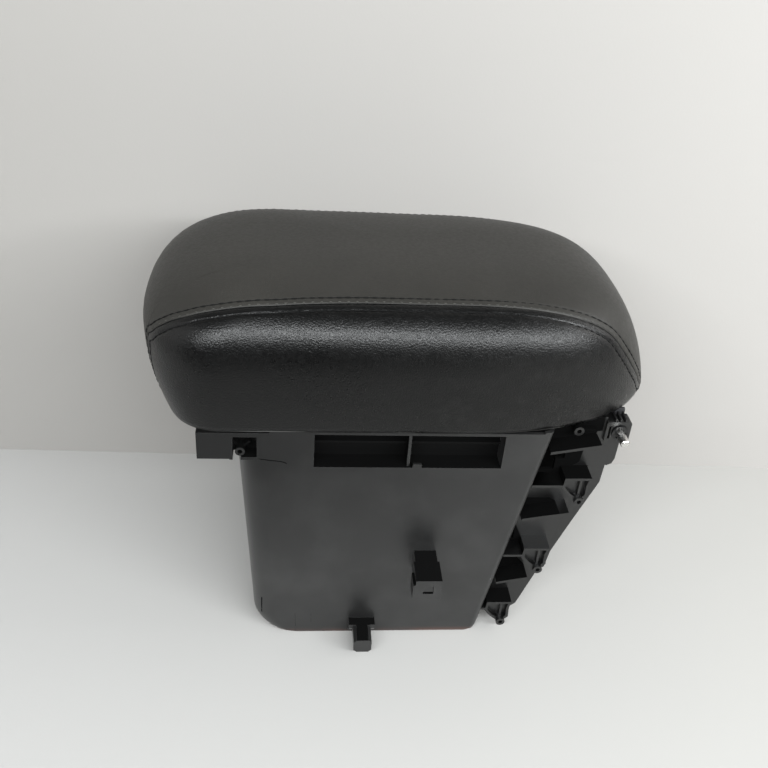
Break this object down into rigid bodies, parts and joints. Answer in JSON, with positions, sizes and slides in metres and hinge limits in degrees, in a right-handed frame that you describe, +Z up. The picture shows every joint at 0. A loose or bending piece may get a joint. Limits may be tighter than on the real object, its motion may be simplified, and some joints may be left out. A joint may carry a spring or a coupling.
{
  "type": "car armrest",
  "caption": "Padded, sewn armrest lid hinged at its rear on a deep moulded storage bin, with a front latch and a ribbed rear carrier.",
  "frame": {"origin": "centre of the bounding box in plan, on the bin's flat bottom", "axes": "+X from the lid's front end to its hinged rear end, +Y across the armrest, +Z up"},
  "size_m": [0.3379, 0.226, 0.272],
  "materials": {
    "bin_plastic": "satin black moulded plastic, lightly scuffed",
    "carrier_plastic": "satin black moulded plastic",
    "liner_plastic": "fine-grained black plastic",
    "lever_plastic": "black plastic, smooth",
    "frame_plastic": "unpainted black plastic",
    "bush_plastic": "white bearing plastic",
    "mat_rubber": "ribbed black rubber",
    "stop_rubber": "black rubber",
    "leather_top": "black grained leatherette",
    "leather_side": "black grained leatherette, a little glossier",
    "foam": "moulded polyurethane foam",
    "screw_steel": "zinc-plated steel",
    "screw_black": "black-coated steel",
    "bright_steel": "bright steel",
    "spring_steel": "spring steel",
    "bracket_steel": "black-painted pressed steel"
  },
  "bodies": {
    "bin": {"bin_box": "bin_plastic", "floor_mat": "mat_rubber", "rear_carrier": "carrier_plastic", "carrier_screws": "screw_steel", "hinge_rod": "bright_steel", "rod_clips": "spring_steel", "striker": "bright_steel", "striker_screws": "screw_steel", "bump_stops": "stop_rubber"},
    "lid": {"cover_top": "leather_top", "cover_side_near": "leather_side", "cover_side_far": "leather_side", "lid_foam": "foam", "lid_frame": "frame_plastic", "lid_liner": "liner_plastic", "liner_screws": "screw_black", "hinge_bracket": "bracket_steel", "bracket_screws": "screw_steel", "hinge_bushes": "bush_plastic", "latch_housing": "liner_plastic", "latch_pin": "bright_steel", "latch_spring": "spring_steel"},
    "latch": {"latch_lever": "lever_plastic"}
  },
  "joints": [
    {"name": "lid_hinge", "type": "hinge", "parent": "bin", "child": "lid", "pos_m": [0.1405, 0, 0.1725], "axis": [0, 1, 0], "range_deg": [0, 95]},
    {"name": "latch_turn", "type": "hinge", "parent": "lid", "child": "latch", "pos_m": [-0.137, 0, 0.191], "axis": [0, 1, 0], "range_deg": [0, 12], "stiffness_Nm_per_rad": 0.1}
  ]
}
